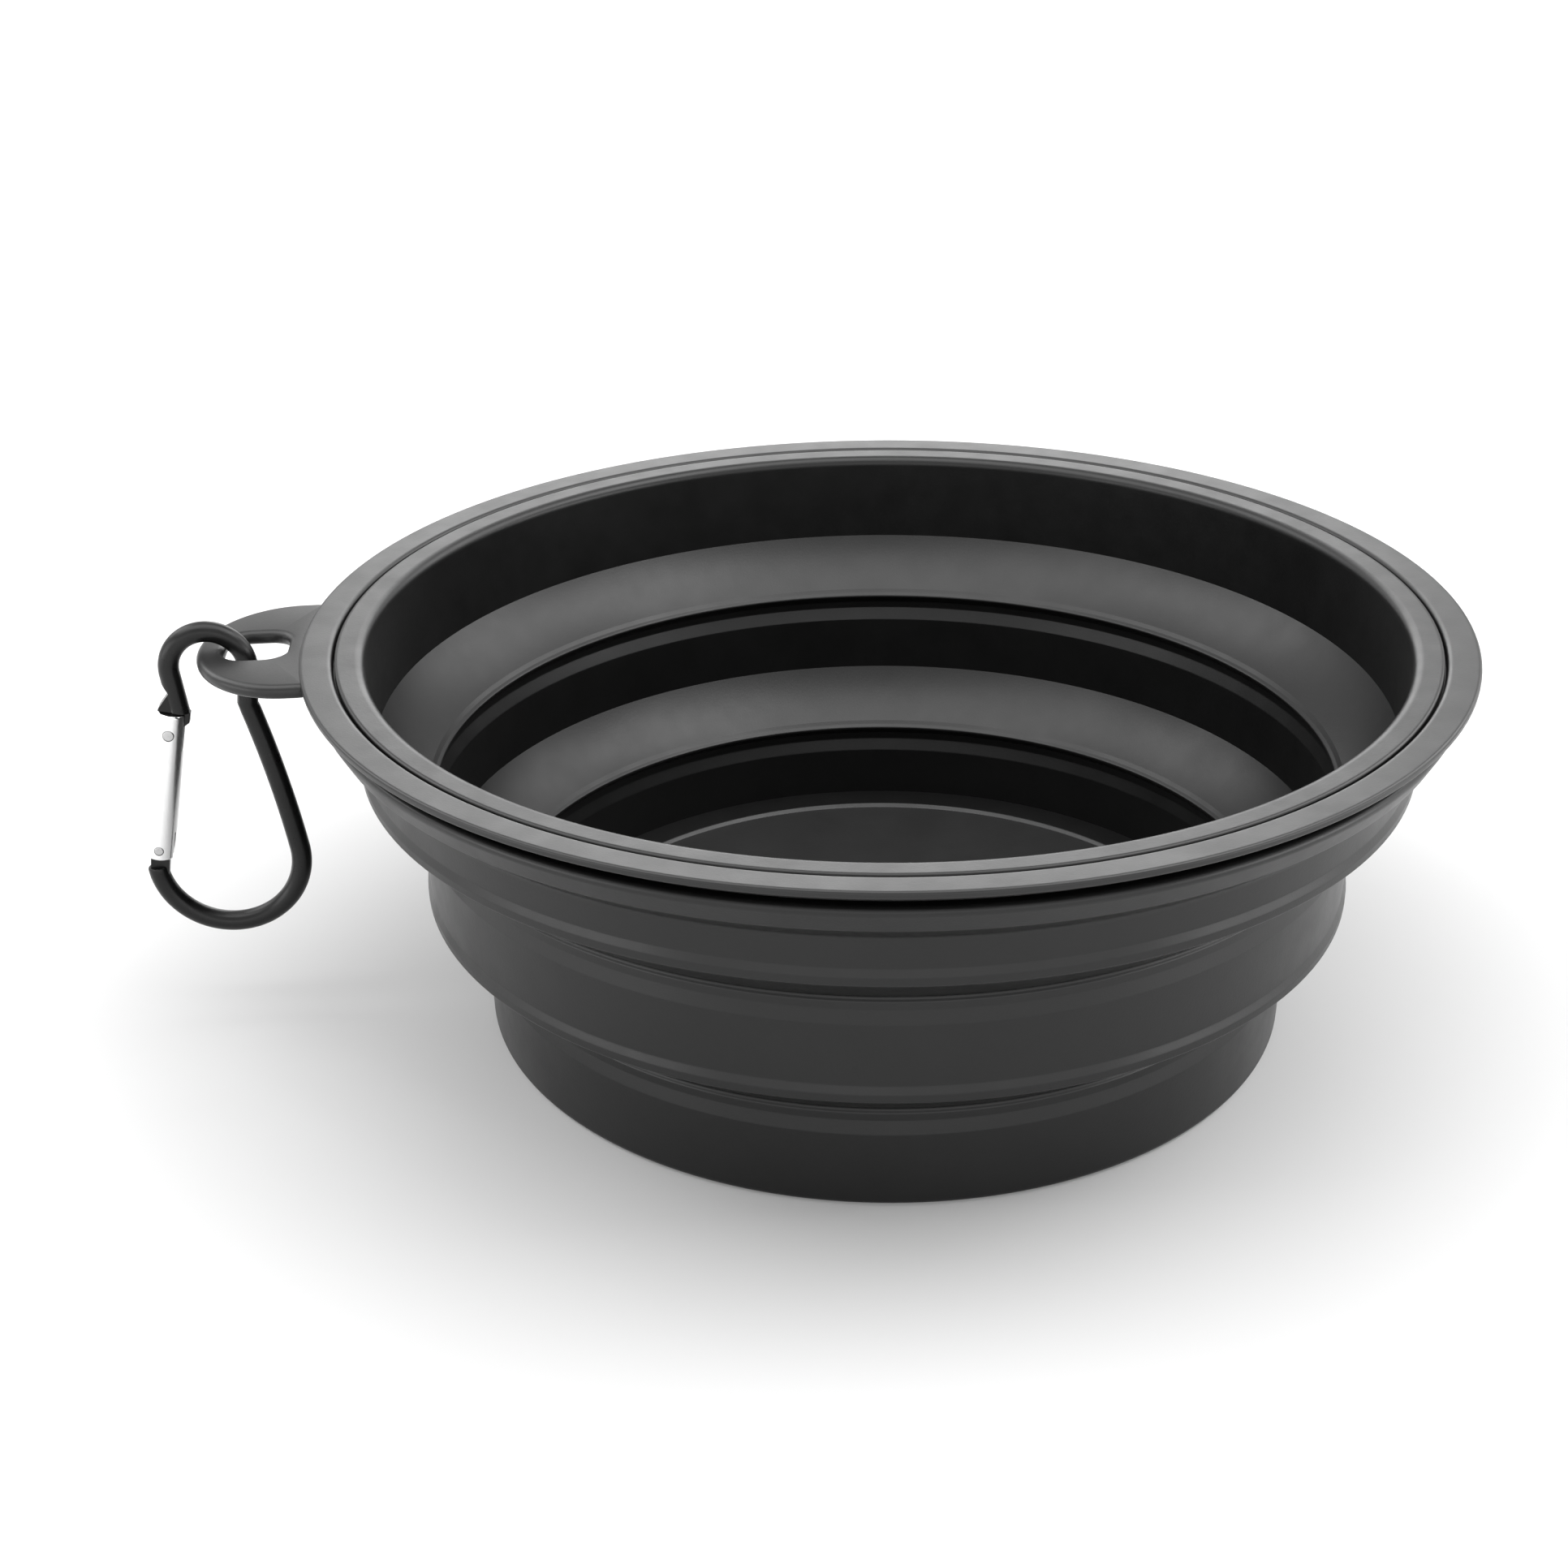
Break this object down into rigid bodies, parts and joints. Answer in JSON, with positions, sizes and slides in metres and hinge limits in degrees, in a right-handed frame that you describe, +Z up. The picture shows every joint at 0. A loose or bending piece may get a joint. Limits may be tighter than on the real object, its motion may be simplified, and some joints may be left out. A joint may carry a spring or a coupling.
{
  "type": "collapsible pet bowl",
  "caption": "Round collapsible bowl with soft folding walls, a stiff rim ring with an eyelet tab, and a sprung-gate carabiner hanging from it, for feeding pets on the move.",
  "frame": {"origin": "centre of the flat underside of the base, with the bowl open", "axes": "+Z up through the bowl's mouth, -X towards the eyelet tab and the carabiner, +Y across the carabiner's plane"},
  "size_m": [0.2083, 0.18, 0.0687],
  "materials": {
    "rim_plastic": "satin charcoal, moulded",
    "body_rubber": "satin charcoal thermoplastic rubber",
    "carabiner_black": "satin black coating",
    "gate_silver": "polished",
    "pin_steel": "bright zinc"
  },
  "bodies": {
    "upper": {"rim_ring": "rim_plastic", "upper_wall": "body_rubber", "upper_fold": "body_rubber"},
    "middle": {"middle_wall": "body_rubber", "lower_fold": "body_rubber"},
    "base": {"base_cup": "body_rubber"},
    "carabiner": {"carabiner_frame": "carabiner_black", "gate_hinge_pin": "pin_steel"},
    "gate": {"carabiner_gate": "gate_silver", "gate_latch_pin": "pin_steel", "gate_plunger": "pin_steel", "gate_spring": "pin_steel"}
  },
  "joints": [
    {"name": "middle_rise", "type": "slide", "parent": "upper", "child": "middle", "axis": [0, 0, 1], "range_m": [0, 0.022], "deforming": ["upper_fold"]},
    {"name": "base_rise", "type": "slide", "parent": "middle", "child": "base", "axis": [0, 0, 1], "range_m": [0, 0.022], "deforming": ["lower_fold"]},
    {"name": "carabiner_swing", "type": "hinge", "parent": "upper", "child": "carabiner", "pos_m": [-0.1046, 0, 0.06108], "axis": [0, 1, 0], "range_deg": [-28, 180]},
    {"name": "gate_open", "type": "hinge", "parent": "carabiner", "child": "gate", "pos_m": [-0.1157, 0, 0.03098], "axis": [0, 1, 0], "range_deg": [0, 16], "stiffness_Nm_per_rad": 0.08, "springref_deg": -17.19}
  ]
}
